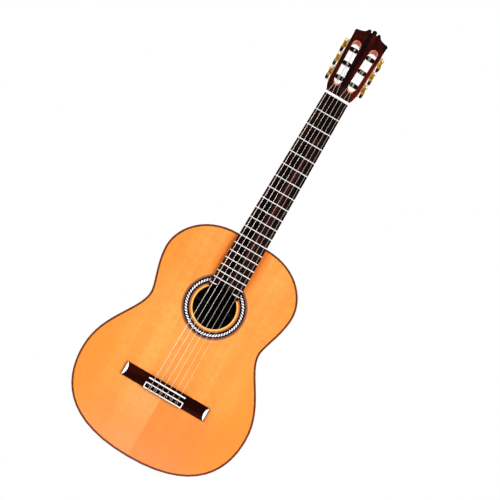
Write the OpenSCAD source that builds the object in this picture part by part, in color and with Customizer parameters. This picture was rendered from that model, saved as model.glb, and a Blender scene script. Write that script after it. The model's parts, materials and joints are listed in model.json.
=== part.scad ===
// Classical guitar with a slotted headstock and worm-gear tuning machines.
// Origin at the centre of the sound hole, on the soundboard's outer face. +Z runs along the neck
// towards the head, +X towards the treble side and +Y through the body towards the back.

/* [Scale and neck] */
// Open string length from the nut to the saddle
scale_length = 650; // [640:1:660]
// Number of frets
fret_count = 19; // [12:1:19]
// Width of the fingerboard at the nut
nut_width = 52; // [50:0.5:54]
// Width of the fingerboard where the neck meets the body
joint_width = 61.5; // [60:0.5:63]
// Thickness of the fingerboard
board_t = 6.5; // [5.5:0.1:7.5]
// Depth of the neck wood at the nut
neck_depth = 15; // [14:0.5:16]

/* [Body] */
// Length of the body along the centre line
body_length = 476.5; // [472:0.5:482]
// Width across the lower bout
lower_bout = 362; // [356:0.5:368]
// Width across the waist
waist = 242.5; // [237:0.5:248]
// Width across the upper bout
upper_bout = 283; // [278:0.5:288]
// Depth of the body at the tail, on the centre line
depth_tail = 97; // [92:1:102]
// Depth of the body at the neck joint, on the centre line
depth_neck = 91; // [88:1:96]
// Radius of the back's cross arch
back_arch_r = 3600; // [3000:100:4200]
// Thickness of the soundboard
top_t = 2.5; // [2:0.1:3]
// Thickness of the ribs, and width of the bindings and of the purfling
rib_t = 2; // [1.8:0.1:2.2]
// Thickness of the back
back_t = 2.5; // [2.2:0.1:3]
// Diameter of the sound hole
soundhole_d = 85; // [84:0.5:86]

/* [Bridge] */
// Length of the bridge across the body
bridge_len = 182.5; // [180:0.5:188]
// Width of the bridge along the strings
bridge_w = 28; // [28:0.5:30]
// Spacing of the outer strings at the saddle
saddle_spread = 58; // [56:0.5:59]
// Spacing of the outer strings at the nut
nut_spread = 44; // [42:0.5:45]

/* [Headstock] */
// Backward tilt of the headstock in degrees
head_tilt = 15; // [14:0.5:16]
// Length of the headstock from the nut to its crest
head_len = 172; // [169:0.5:175]
// Distance between neighbouring string rollers
roller_pitch = 35; // [35:0.1:35.5]

/* [Hidden] */
$fn = 48;

// Stations along the neck axis
soundhole_r = soundhole_d / 2;
board_end = soundhole_r - 11;                // corners of the fingerboard beside the sound hole
board_relief = 0.8;                          // distance from the sound hole's wall to the end of the fingerboard
board_len = 441;
z_nut = board_end + board_len;
z_joint = z_nut - scale_length / 2;
z_tail = z_joint - body_length;
z_mid = (z_joint + z_tail) / 2;
nut_t = 5;
z_head = z_nut + nut_t;
saddle_setback = 1;                          // intonation allowance
z_saddle = z_nut - scale_length - saddle_setback;

// Half of the body's outline as four cubic Bezier curves, in [x, height above the tail]
joint_flat = 33;                             // half width of the flat that the heel is glued to
z_lower = 0.293 * body_length;
z_waist = 0.6155 * body_length;
z_upper = 0.811 * body_length;
p_lower = [lower_bout / 2, z_lower];
p_waist = [waist / 2, z_waist];
p_upper = [upper_bout / 2, z_upper];
outline_curves = [
    [[0, 0], [162.8, 0], p_lower - [0, 50.4], p_lower],
    [p_lower, p_lower + [0, 71.1], p_waist - [0, 40.1], p_waist],
    [p_waist, p_waist + [0, 18.1], p_upper - [0, 37.8], p_upper],
    [p_upper, p_upper + [0, 40.3], [103.1, body_length - 0.5], [joint_flat, body_length]]
];
curve_steps = 15;
beyond = 200;                                // reach of a cutting shape past the body

// Shell and bracing
glue = 0.05;                                 // thickness of a glue line
binding_h = 6;
border_w = 2 * rib_t;                        // binding and the purfling beside it
lining_w = 6;
lining_h = 14;
strip_half = 2;                              // half width of the strip between the back halves
rosette_depth = 1.5;
rosette_inner = [46.5, 50];
rosette_mid = [50, 61];
rosette_outer = [61, 64.3];
patch_r = 60;
patch_t = 1.5;
fan_h = 4.5;
fan_w = 5;
fan_side_count = 3;                          // fans on each side of the middle one
fan_top = [13, -80];
fan_foot = [37, -282];
fan_shorten = 5;
bar_z = [-66, 66];
bar_w = 7;
bar_h = 14;
back_brace_z = [-250, -130, 0, 100];
back_brace_w = 6;
back_brace_h = 15;
brace_gap = 3;                               // clearance between a brace's end and the lining
block_t = 24;
neck_block_half = 36;
end_block_half = 32;
graft_half = 6;                              // half width of the strip let into the tail

// Neck and heel
heel_cap_t = 3;
heel_cap_len = 24;
heel_half = 15;                              // half width of the heel at its cap
heel_run = 78;                               // where the heel has swept into the neck
heel_curve = 1.7;
neck_grow = 2;                               // extra neck depth at the body end
heel_depth = depth_neck - heel_cap_t;
edge_half = 0.4;                             // half width of a section's narrow edge
profile_steps = 12;
neck_shape = [2.3, 2.1];                     // exponents of the section: round neck
heel_shape = [0.8, 1.2];                     // and hollow heel
heel_stations = [0, 8, 14, 18.5, 21.5, 23.3, 24, 24.4, 25.2, 26.5, 28.5, 31.5, 35.5, 41, 48, 56, 66, 78];
neck_stations = [120, 200, 280];

// Frets, nut and strings; string 1 is the highest and the nearest to the treble side
fret_w = 2;
fret_h = 1;
tang_w = 0.6;
tang_h = 1.8;
nut_h = 9.4;
string_r = [0.36, 0.41, 0.51, 0.37, 0.45, 0.55];
string_lift = 0.8;                           // height over the first fret at the nut
string_sides = 8;
string_gap = 0.1;

// Bridge, measured back from its front edge
saddle_at = 6.8;
ridge_w = 9.6;
tie_at = 16;
centre_len = 82.6;
block_h = 8.2;
recess_h = 4.2;
wing_h = 3.6;
wing_edge = 0.55;                            // height of a wing's long edges, as a share of its middle
saddle_t = 2.5;
saddle_len = 80;
saddle_h = 12.6;
saddle_depth = 4.6;                          // how far the saddle sits in its slot
inlay_w = 1.8;
inlay_t = 1.2;
cap_rim = 1.5;                               // wood outside the inlay at each end of the bridge
cap_sagitta = 5.5;                           // depth of that inlay
cap_r = (pow(bridge_w / 2, 2) + pow(cap_sagitta, 2)) / (2 * cap_sagitta);
tie_hole_r = 0.9;
tie_hole_h = 5.4;
z_bridge = z_saddle + saddle_at;

// Headstock, in its own frame: x across, y back from the wood's face, z up from the nut
head_t = 17.5;
plate_t = 2.5;
head_foot = 21;                              // where the sides become straight
head_shoulder = head_len - 22;
corner_r = 5.5;
corner_out = 0.5;                            // how far the corners stand out from the sides
corner_run = 10;                             // and the length over which they do
side_x = 34.1;                               // half width at the middle roller
side_slope = 2.2;                            // degrees that each side leans outwards
roller_mid = 78.7;
roller_y = 7.5;
rim = 8;                                     // wood between a slot and the side
slot_w = 17;
slot_low = 27;
slot_high = 134;
scoop_z = slot_low + 1;                      // centre of the scoop that clears the outer strings
scoop_r = 10.5;
scoop_tip = 0.5;
scoop_depth = 6;

// Tuning machines, in the frame of one side: x outwards, y back, z up the side
base_t = 1.4;
base_w = 18;
base_len = 106;
running = 0.05;                              // radial clearance of a turning shaft
post_r = 3;
post_end_r = 2;
roller_r = 4.8;
roller_gap = 0.5;
pivot_len = 5;                               // how far a roller's tip reaches into the middle rib
gear_teeth = 14;
gear_r = 6.3;
gear_w = 3.4;
worm_r = 2.9;
worm_x = 6.3;
worm_z = gear_r + worm_r;
worm_turns = 4;
thread_pitch = 2 * PI * gear_r / gear_teeth;
worm_len = worm_turns * thread_pitch;
addendum = 0.7;
dedendum = 0.95;
tooth_half = 0.5;                            // half thickness of a tooth at the pitch line
flank = tan(20);
thread_steps = 18;                           // sections in one turn of the thread
journal_r = 1.6;
ear_t = 2;
ear_r = 3.4;
ear_gap = 0.2;
ear_y = worm_len / 2 + ear_gap;
collar_r = 2.6;
button_at = 20;                              // start of the button behind the roller's axis
button_len = 17;
button_half = 8.5;
button_thick = [4.3, 3.8];
button_wide_at = 0.6;
button_square = 0.7;                         // below 1, a section is squarer than an ellipse
button_bore = 8;
button_sides = 24;
button_steps = 11;
screw_r = 1.2;
screw_len = 6;
screw_head_r = 2;
screw_head_h = 1.1;
screw_z = [-49.5, -14.6, 20.4, 49.5];
gear_screw_r = 1;
gear_screw_len = 4;

SIDE = [1, 1, 1, -1, -1, -1];                // side of the head for strings 1 to 6
PLACE = [-1, 0, 1, 1, 0, -1];                // roller of each string, counted from the middle one

// ---------- Curves and general shapes ----------

function bezier(c, t) =
    pow(1 - t, 3) * c[0] + 3 * pow(1 - t, 2) * t * c[1] + 3 * (1 - t) * t * t * c[2] + pow(t, 3) * c[3];
function bezier_slope(c, t) =
    3 * pow(1 - t, 2) * (c[1] - c[0]) + 6 * (1 - t) * t * (c[2] - c[1]) + 3 * t * t * (c[3] - c[2]);
function bezier_points(c, steps) = [for (i = [0 : steps]) bezier(c, i / steps)];
function unit(v) = v / norm(v);
function arc(centre, r, from, to, steps) = [
    for (i = [0 : steps])
        let (a = from + (to - from) * i / steps)
        centre + r * [cos(a), sin(a)]
];
function mirrored(points) = [for (i = [len(points) - 1 : -1 : 0]) [-points[i][0], points[i][1]]];

// Right half of the body's outline, from the tail to the neck joint, moved inwards by inset
function half_outline(inset) = [
    for (k = [0 : 3], i = [k == 0 ? 0 : 1 : curve_steps])
        let (t = i / curve_steps)
        let (along = k == 3 && i == curve_steps ? [-1, 0] : unit(bezier_slope(outline_curves[k], t)))
        bezier(outline_curves[k], t) - inset * [along[1], -along[0]] + [0, z_tail]
];
function outline(inset) =
    let (h = half_outline(inset))
    concat([for (i = [1 : len(h) - 1]) h[i]], mirrored(h));
function half_width(z, inset) = lookup(z, [for (p = half_outline(inset)) [p[1], p[0]]]);

// Extrudes a shape drawn in x and z along +Y, from y to y + t
module slab(y, t) translate([0, y + t, 0]) rotate([90, 0, 0]) linear_extrude(t) children();

// Extrudes a section drawn in [z, height in front of the face] along +X
module along_x(length) rotate([90, 0, 90]) linear_extrude(length) rotate(90) children();

module both_sides() {
    children();
    mirror([1, 0, 0]) children();
}

// A closed skin through rings with equal numbers of points, clockwise against the direction of travel
module loft(rings) {
    m = len(rings[0]);
    last = len(rings) - 1;
    skin = [
        for (j = [0 : last - 1], i = [0 : m - 1])
            let (a = j * m + i, b = j * m + (i + 1) % m)
            each [[a, b, b + m], [a, b + m, a + m]]
    ];
    ends = [[for (i = [m - 1 : -1 : 0]) i], [for (i = [0 : m - 1]) last * m + i]];
    polyhedron([for (r = rings) each r], concat(skin, ends), convexity = 6);
}

// A round rod along a path that never runs parallel to X
module rod(path, r) {
    last = len(path) - 1;
    loft([
        for (i = [0 : last])
            let (along = unit(path[min(i + 1, last)] - path[max(i - 1, 0)]))
            let (u = unit(cross(along, [1, 0, 0])), v = cross(u, along))
            [for (k = [0 : string_sides - 1])
                let (a = 360 * k / string_sides)
                path[i] + r * (cos(a) * u + sin(a) * v)]
    ]);
}

// ---------- Body ----------

// Frame of the back's arch, whose axis is local Z; the body's depth tapers towards the neck
module arch_frame()
    translate([0, (depth_tail + depth_neck) / 2, z_mid])
        rotate([atan((depth_tail - depth_neck) / body_length), 0, 0])
            translate([0, -back_arch_r, 0])
                children();

// Everything at least this far below the back's outer surface
module under_arch(below)
    arch_frame()
        cylinder(r = back_arch_r - below, h = 2 * body_length, center = true, $fn = 256);

// A layer that follows the back, between two depths under its outer surface
module back_layer(from, to) difference() {
    intersection() {
        slab(depth_neck / 2, beyond) children();
        under_arch(from);
    }
    under_arch(to);
}

module wall_2d(outer, inner) difference() {
    polygon(outline(outer));
    polygon(outline(inner));
}
module treble_half_2d(from) intersection() {
    children();
    translate([from, z_tail - 1]) square([beyond, body_length + 2]);
}
module centre_2d(half) intersection() {
    children();
    translate([-half, z_tail - 1]) square([2 * half, body_length + 2]);
}
module disc(r, from, to) translate([0, from, 0]) rotate([-90, 0, 0]) cylinder(r = r, h = to - from);
module ring(radii, from, to) difference() {
    disc(radii[1], from, to);
    disc(radii[0], from - 1, to + 1);
}

module soundboard() color("#F2A54A") difference() {
    slab(0, top_t) polygon(outline(border_w));
    disc(soundhole_r, -1, top_t + 1);
    ring([rosette_inner[0], rosette_outer[1]], -1, rosette_depth);
}
module rosette_rings() color("#7A3A22") {
    ring(rosette_inner, 0, rosette_depth);
    ring(rosette_outer, 0, rosette_depth);
}
module rosette_mosaic() color("#EDEBE4") ring(rosette_mid, 0, rosette_depth);
module soundhole_patch() color("#E0A862") ring([soundhole_r, patch_r], top_t, top_t + patch_t);

// Side view of a brace whose ends are thinned to a tip
module brace_2d(length, height, tip) polygon([
    [-length / 2, 0],
    [length / 2, 0],
    [length / 2, tip],
    [length / 2 - 3 * height, height],
    [3 * height - length / 2, height],
    [-length / 2, tip]
]);
module fan_brace(i) {
    top = [i * fan_top[0], fan_top[1]];
    foot = [i * fan_foot[0], fan_foot[1] + fan_shorten * i * i];
    run = foot - top;
    middle = (top + foot) / 2;
    translate([middle[0], top_t, middle[1]])
        rotate([0, -atan2(run[1], run[0]), 0])
            translate([0, 0, -fan_w / 2])
                linear_extrude(fan_w)
                    brace_2d(norm(run), fan_h, 1);
}
module top_braces() color("#E6C28C") {
    for (i = [-fan_side_count : fan_side_count]) fan_brace(i);
    for (z = bar_z)
        translate([0, top_t, z - bar_w / 2])
            linear_extrude(bar_w)
                brace_2d(2 * (half_width(z, rib_t + lining_w) - brace_gap), bar_h, 4);
}

module back_half_2d() treble_half_2d(strip_half) polygon(outline(rib_t));
module back_treble() color("#4A2118") back_layer(0, back_t) back_half_2d();
module back_bass() color("#4A2118") mirror([1, 0, 0]) back_layer(0, back_t) back_half_2d();
module back_centre_strip() color("#D9B27C")
    back_layer(0, back_t) centre_2d(strip_half) polygon(outline(rib_t));
module back_brace(z) {
    r = back_arch_r - back_t - glue;
    half = min([for (end = [z, z + back_brace_w]) half_width(end, rib_t + lining_w)]) - brace_gap;
    sweep = asin(half / r);
    arch_frame()
        translate([0, 0, z - z_mid])
            linear_extrude(back_brace_w)
                polygon(concat(
                    arc([0, 0], r, 90 + sweep, 90 - sweep, 24),
                    [[half - 2 * back_brace_h, r - back_brace_h], [2 * back_brace_h - half, r - back_brace_h]]
                ));
}
module back_braces() color("#E6C28C") for (z = back_brace_z) back_brace(z);

// A strip let into the ribs at the tail, over the joint between them
module graft_2d() translate([-graft_half, z_tail - 1]) square([2 * graft_half, block_t]);
module rib_layer() intersection() {
    slab(binding_h, beyond) children();
    under_arch(binding_h);
}
module rib_side() rib_layer() difference() {
    treble_half_2d(0) wall_2d(0, rib_t);
    graft_2d();
}
module side_treble() color("#53251A") rib_side();
module side_bass() color("#53251A") mirror([1, 0, 0]) rib_side();
module end_graft() color("#3A130F") rib_layer() intersection() {
    wall_2d(0, rib_t);
    graft_2d();
}
module top_binding() color("#5A2A1A") {
    slab(0, binding_h) wall_2d(0, rib_t);
    slab(0, top_t) wall_2d(0, border_w);
}
module back_binding() color("#5A2A1A") back_layer(0, binding_h) wall_2d(0, rib_t);

module neck_block_2d()
    translate([-neck_block_half, z_joint - rib_t - block_t]) square([2 * neck_block_half, block_t]);
module end_block_2d() translate([-end_block_half, z_tail]) square([2 * end_block_half, block_t]);
module block() intersection() {
    slab(top_t, beyond) intersection() {
        polygon(outline(rib_t));
        children();
    }
    under_arch(back_t);
}
module neck_block() color("#B5713F") block() neck_block_2d();
module end_block() color("#B5713F") block() end_block_2d();
module lining_2d() difference() {
    wall_2d(rib_t, rib_t + lining_w);
    neck_block_2d();
    end_block_2d();
}
module kerfed_linings() color("#D8B88A") {
    slab(top_t, lining_h) lining_2d();
    back_layer(back_t, back_t + lining_h) lining_2d();
}

// ---------- Neck ----------

function board_half(z) = nut_width / 2 + (z_nut - z) * (joint_width - nut_width) / scale_length;
function fret_z(i) = z_nut - scale_length * (1 - pow(2, -i / 12));

// Section of the neck: half width w at its flat face, depth h, half width foot at its back
function section(w, h, foot, shape) =
    let (half = [
        for (i = [0 : profile_steps])
            let (v = (1 - cos(180 * i / profile_steps)) / 2)
            [foot + (w - foot) * pow(1 - pow(v, shape[0]), 1 / shape[1]), h * v]
    ])
    concat([for (p = half) [-p[0], p[1]]], [for (i = [profile_steps : -1 : 0]) half[i]]);

// Share of the heel's depth at a distance u from the body, and half width of its foot there
function heel_share(u) =
    u <= heel_cap_len ? 1 :
    let (s = (u - heel_cap_len) / (heel_run - heel_cap_len))
    1 - pow(1 - pow(1 - min(s, 1), heel_curve), 1 / heel_curve);
function heel_foot(u) =
    edge_half + (u >= heel_cap_len ? 0 : heel_half * sqrt(1 - pow(u / heel_cap_len, 2.4)));
function neck_ring(u) =
    let (z = z_joint + u, k = heel_share(u))
    let (shallow = neck_depth + neck_grow * (1 - min(1, u / (scale_length / 2))))
    let (flat = section(
        max(board_half(z), nut_width / 2),
        shallow + (heel_depth - shallow) * k,
        heel_foot(u),
        neck_shape + (heel_shape - neck_shape) * k
    ))
    [for (p = flat) [p[0], p[1], z]];
module neck() color("#8C4A22")
    loft([for (u = concat(heel_stations, neck_stations, [z_head - z_joint])) neck_ring(u)]);
module heel_cap() color("#4A2118") slab(heel_depth, heel_cap_t) {
    right = [for (a = [0 : 7.5 : 90]) let (u = heel_cap_len * sin(a)) [heel_foot(u), z_joint + u]];
    polygon(concat(right, mirrored(right)));
}

module fingerboard() color("#2B1510") difference() {
    slab(-board_t, board_t) polygon([
        [nut_width / 2, z_nut],
        [board_half(board_end), board_end],
        [-board_half(board_end), board_end],
        [-nut_width / 2, z_nut]
    ]);
    disc(soundhole_r + board_relief, -2 * board_t, 1);
    for (i = [1 : fret_count])
        translate([-nut_width, -board_t - 1, fret_z(i) - tang_w / 2])
            cube([2 * nut_width, tang_h + 1, tang_w]);
}
module fret_2d() {
    polygon(concat(
        [[tang_w / 2, 0], [tang_w / 2, -tang_h], [-tang_w / 2, -tang_h], [-tang_w / 2, 0], [-fret_w / 2, 0]],
        [for (a = [150 : -20 : 30]) [fret_w / 2 * cos(a), fret_h * pow(sin(a), 0.8)]],
        [[fret_w / 2, 0]]
    ));
}
module frets() color("#D9D6CE") difference() {
    for (i = [1 : fret_count])
        translate([-board_half(fret_z(i)), -board_t, fret_z(i)])
            along_x(2 * board_half(fret_z(i)))
                fret_2d();
    disc(soundhole_r + board_relief, -2 * board_t, 1);
}

// ---------- Nut, bridge and strings ----------

function string_x(i, spread) = spread * (0.5 - (i - 1) / 5);
function nut_y(i) = -board_t - fret_h - string_lift - string_r[i - 1];
function saddle_y(i) = -saddle_h - string_r[i - 1] - string_gap;

module nut() color("#F4F1E6") difference() {
    slab(-nut_h, nut_h) translate([-nut_width / 2, z_nut]) square([nut_width, nut_t]);
    for (i = [1 : 6]) translate([string_x(i, nut_spread), nut_y(i), z_nut - 1]) {
        r = string_r[i - 1] + running;
        cylinder(r = r, h = nut_t + 2);
        translate([-r, -nut_h, 0]) cube([2 * r, nut_h, nut_t + 2]);
    }
}

// A block of the bridge between two distances from its front edge
module bridge_block(from, to, height)
    translate([-centre_len / 2, -height, z_bridge - to]) cube([centre_len, height, to - from]);
module wings()
    translate([-bridge_len / 2, 0, z_bridge - bridge_w / 2])
        along_x(bridge_len)
            polygon(concat(
                [for (a = [-90 : 18 : 90])
                    [bridge_w / 2 * sin(a), wing_h * (wing_edge + (1 - wing_edge) * pow(cos(a), 0.7))]],
                [[bridge_w / 2, 0], [-bridge_w / 2, 0]]
            ));
module end_caps() both_sides() intersection() {
    translate([bridge_len / 2 - cap_rim - cap_sagitta + cap_r, 0, z_bridge - bridge_w / 2])
        disc(cap_r, -2 * wing_h, -inlay_t);
    translate([0, -beyond, z_bridge - beyond]) cube([bridge_len / 2 - cap_rim, 2 * beyond, 2 * beyond]);
}
module tie_frame() difference() {
    translate([-centre_len / 2, -block_h, z_bridge - bridge_w])
        cube([centre_len, inlay_t, bridge_w - tie_at]);
    translate([inlay_w - centre_len / 2, -block_h - 1, z_bridge - bridge_w + inlay_w])
        cube([centre_len - 2 * inlay_w, inlay_t + 2, bridge_w - tie_at - 2 * inlay_w]);
}
module bridge() color("#3A1512") difference() {
    union() {
        wings();
        bridge_block(0, bridge_w, recess_h);
        bridge_block(0, ridge_w, block_h);
        bridge_block(tie_at, bridge_w, block_h);
    }
    translate([-saddle_len / 2, saddle_depth - block_h, z_saddle - saddle_t / 2])
        mirror([0, 1, 0]) cube([saddle_len, 2 * block_h, saddle_t]);
    end_caps();
    tie_frame();
    for (i = [1 : 6])
        translate([string_x(i, saddle_spread), -tie_hole_h, z_bridge - bridge_w - 1])
            cylinder(r = tie_hole_r, h = bridge_w - tie_at + 2);
}
module saddle() color("#F4F1E6")
    translate([-saddle_len / 2, -saddle_h, z_saddle - saddle_t / 2])
        cube([saddle_len, saddle_h - block_h + saddle_depth, saddle_t]);
module bridge_inlays() color("#F4F1E6") {
    tie_frame();
    intersection() {
        wings();
        end_caps();
    }
}

// A point of the headstock's frame in the guitar's frame
function from_head(p) = [
    p[0],
    p[1] * cos(head_tilt) + p[2] * sin(head_tilt),
    z_head - p[1] * sin(head_tilt) + p[2] * cos(head_tilt)
];
// Each string ends on the front of its roller, in the middle of the slot
function string_end(i) =
    let (z = roller_mid + PLACE[i - 1] * roller_pitch)
    let (x = side_x + (z - roller_mid) * tan(side_slope) - rim - slot_w / 2)
    [SIDE[i - 1] * x, roller_y - roller_r - string_r[i - 1] - string_gap, z];
function string_path(i) =
    let (foot_x = string_x(i, saddle_spread), nut_x = string_x(i, nut_spread))
    [
        [foot_x, -tie_hole_h, z_bridge - bridge_w - 3],
        [foot_x, -tie_hole_h, z_bridge - tie_at + 2],
        [foot_x, saddle_y(i), z_saddle - saddle_t / 2],
        [foot_x, saddle_y(i), z_saddle + saddle_t / 2],
        [nut_x, nut_y(i), z_nut],
        [nut_x, nut_y(i), z_head],
        from_head(string_end(i))
    ];
module string(i) color(i > 3 ? "#C9C6C0" : "#F3EDE0") rod(string_path(i), string_r[i - 1]);

// ---------- Headstock ----------

module head_frame() translate([0, 0, z_head]) rotate([-head_tilt, 0, 0]) children();
function side_at(z) = side_x + (z - roller_mid) * tan(side_slope);

// Right half of the head's outline: flare, straight side, corner, and a crest with three lobes
flare = bezier_points(
    [[nut_width / 2, 0], [nut_width / 2 + 2.5, 8], [side_at(head_foot - 9), head_foot - 9],
     [side_at(head_foot), head_foot]], 8);
side_top = [side_at(head_shoulder - corner_run), head_shoulder - corner_run];
corner = arc([side_at(head_shoulder) + corner_out - corner_r, head_shoulder], corner_r, -10, 105, 7);
side_lobe = arc([10.7, head_len - 7.1], 3.8, 10, 205, 8);
middle_lobe = arc([0, head_len - 5], 5, -40, 90, 6);
shoulder = bezier_points([corner[7], [25, head_len - 14.5], [17.5, head_len - 14.5], side_lobe[0]], 8);
head_half = concat(flare, [side_top], corner, [for (i = [1 : 7]) shoulder[i]], side_lobe, middle_lobe);
module head_2d() polygon(concat(head_half, mirrored([for (i = [0 : len(head_half) - 2]) head_half[i]])));

// A long slot with round ends, parallel to the side, and the scoop at its lower end
module slot_2d() translate([side_x - rim - slot_w / 2, roller_mid]) rotate(-side_slope) {
    low = slot_low - roller_mid + slot_w / 2;
    high = slot_high - roller_mid - slot_w / 2;
    translate([0, low]) circle(slot_w / 2);
    translate([0, high]) circle(slot_w / 2);
    translate([-slot_w / 2, low]) square([slot_w, high - low]);
}
module head_slots() both_sides() {
    slab(-2 * plate_t, 2 * head_t) slot_2d();
    translate([side_at(scoop_z) - rim - slot_w / 2, -plate_t, scoop_z])
        rotate([-90, 0, 0])
            cylinder(r1 = scoop_r, r2 = scoop_tip, h = scoop_depth);
}

// The round neck blends into the flat head between the nut and the start of the straight sides
function blend_ring(z) =
    let (k = z / head_foot, e = k * k * (3 - 2 * k))
    let (w = lookup(z, [for (p = flare) [p[1], p[0]]]))
    let (square_shape = [9, 9])
    let (flat = section(w, neck_depth + (head_t - neck_depth) * e, edge_half + (w - edge_half) * 0.9 * e,
        neck_shape + (square_shape - neck_shape) * e))
    [for (p = flat)
        let (back = p[1] * (k + (1 - k) * cos(head_tilt)))
        from_head([p[0], back, z + (1 - k) * back * tan(head_tilt)])];
module post_holes() both_sides() side_frame()
    for (k = [-1 : 1]) translate([0, roller_y, k * roller_pitch]) {
        x_rod(post_r + 0.4, -rim - 1, 1);
        x_rod(post_r + running, -rim - slot_w - pivot_len - 0.2, 0);
    }
module screw_holes() both_sides() side_frame()
    for (z = screw_z) translate([0, roller_y, z]) x_rod(screw_r, -screw_len - 0.2, 1);
module headstock() color("#7A3A1E") difference() {
    union() {
        loft([for (z = [0, 2, 5, 9, 13, 17, head_foot]) blend_ring(z)]);
        head_frame() slab(0, head_t) intersection() {
            head_2d();
            translate([-beyond / 2, head_foot]) square([beyond, head_len]);
        }
    }
    head_frame() {
        head_slots();
        post_holes();
        screw_holes();
    }
}
module headplate() color("#3A130F") head_frame() difference() {
    slab(-plate_t, plate_t - glue) head_2d();
    head_slots();
}

// ---------- Tuning machines ----------

module side_frame() translate([side_x, 0, roller_mid]) rotate([0, side_slope, 0]) children();
module on_side(side) head_frame() mirror([side > 0 ? 0 : 1, 0, 0]) side_frame() children();
module at_tuner(i)
    on_side(SIDE[i - 1]) translate([0, roller_y, PLACE[i - 1] * roller_pitch]) children();

// A cylinder along +X, or along +Y, between two stations
module x_rod(r, from, to) translate([from, 0, 0]) rotate([0, 90, 0]) cylinder(r = r, h = to - from);
module y_rod(r, from, to) translate([0, from, 0]) rotate([-90, 0, 0]) cylinder(r = r, h = to - from);

module base_plate() difference() {
    union() {
        translate([0, roller_y, 0]) rotate([0, 90, 0]) linear_extrude(base_t) {
            square([base_len - base_w, base_w], center = true);
            for (s = [-1, 1]) translate([s * (base_len - base_w) / 2, 0]) circle(base_w / 2);
        }
        for (k = [-1 : 1], y = [-ear_y - ear_t, ear_y])
            translate([worm_x, roller_y + y, k * roller_pitch + worm_z]) {
                y_rod(ear_r, 0, ear_t);
                translate([base_t / 2 - worm_x, 0, -ear_r]) cube([worm_x - base_t / 2, ear_t, 2 * ear_r]);
            }
    }
    for (k = [-1 : 1]) translate([0, roller_y, k * roller_pitch]) {
        x_rod(post_r + running, -1, base_t + 1);
        translate([worm_x, 0, worm_z]) y_rod(journal_r + running, -base_w, base_w);
    }
    for (z = screw_z) translate([0, roller_y, z]) x_rod(screw_r, -1, base_t + 1);
}
module tuner_plate_treble() color("#D9B25A") on_side(1) base_plate();
module tuner_plate_bass() color("#D9B25A") on_side(-1) base_plate();
module tuner_screws() color("#E3C06A")
    for (side = [1, -1], z = screw_z) on_side(side) translate([0, roller_y, z]) difference() {
        union() {
            x_rod(screw_r, -screw_len, base_t + 0.1);
            x_rod(screw_head_r, base_t, base_t + screw_head_h);
        }
        translate([base_t + screw_head_h / 2, -screw_head_r, -0.2])
            cube([screw_head_h, 2 * screw_head_r, 0.4]);
    }

gear_inner = worm_x - gear_w / 2;
gear_outer = worm_x + gear_w / 2;
module roller(i) color("#161412") at_tuner(i) difference() {
    union() {
        x_rod(roller_r, roller_gap - rim - slot_w, -rim - roller_gap);
        x_rod(post_r, -rim - slot_w - pivot_len, gear_inner);
        x_rod(post_end_r, 0, gear_outer);
    }
    x_rod(gear_screw_r, gear_outer - gear_screw_len, gear_outer + 1);
    translate([-rim - slot_w / 2, 0, 0]) y_rod(0.8, -beyond, beyond);
}

// Teeth of the gear: [radius, angle] at the root and the tip on both flanks
gear_root = gear_r - dedendum;
gear_tip = gear_r + addendum;
tooth = [
    for (s = [-1, 1], r = s < 0 ? [gear_root, gear_tip] : [gear_tip, gear_root])
        [r, s * (tooth_half + (gear_r - r) * flank) / r * 180 / PI]
];
module gear_2d() polygon([
    for (k = [0 : gear_teeth - 1], p = tooth)
        let (a = (k + 0.5) * 360 / gear_teeth + p[1])
        [-p[0] * cos(a), p[0] * sin(a)]
]);
module gear(i) color("#C9A24A") at_tuner(i) {
    difference() {
        union() {
            translate([gear_inner, 0, 0]) rotate([0, 90, 0]) linear_extrude(gear_w) gear_2d();
            x_rod(post_r + 1.4, base_t + 0.1, gear_inner + 0.1);
        }
        x_rod(post_r, 0, gear_inner);
        x_rod(post_end_r, 0, gear_outer + 1);
    }
    difference() {
        union() {
            x_rod(gear_screw_r, gear_outer - gear_screw_len, gear_outer + 0.1);
            x_rod(post_end_r + 1, gear_outer + running, gear_outer + 1.3);
        }
        translate([gear_outer + 0.7, -2 * post_r, -0.3]) cube([2, 4 * post_r, 0.6]);
    }
}

// One section of the worm's thread, a turns around it
function thread_ring(turn) =
    let (y = (turn - worm_turns / 2) * thread_pitch)
    let (grow = min(1, min(turn, worm_turns - turn) * 4 + 0.15))
    let (root = worm_r - dedendum, crest = root + (addendum + dedendum) * grow)
    [
        for (p = [
            [root - 0.2, -tooth_half - dedendum * flank],
            [crest, addendum * flank - tooth_half],
            [crest, tooth_half - addendum * flank],
            [root - 0.2, tooth_half + dedendum * flank]
        ])
            let (a = 180 + 360 * (turn - worm_turns / 2))
            [p[0] * sin(a), min(max(y + p[1], -worm_len / 2), worm_len / 2), p[0] * cos(a)]
    ];
module worm(i) color("#E8C56E") at_tuner(i) translate([worm_x, 0, worm_z]) {
    loft([for (k = [0 : worm_turns * thread_steps]) thread_ring(k / thread_steps)]);
    y_rod(worm_r - dedendum, -worm_len / 2, worm_len / 2);
    y_rod(journal_r, -ear_y - ear_t - 0.4, button_at - 0.5);
    translate([0, -ear_y - ear_t - 0.3, 0]) intersection() {
        sphere(collar_r);
        y_rod(collar_r, -collar_r, 0.15);
    }
    y_rod(collar_r, ear_y + ear_t + 0.15, ear_y + ear_t + 2);
    y_rod(1.5, 0, button_at + button_bore);
}

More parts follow.
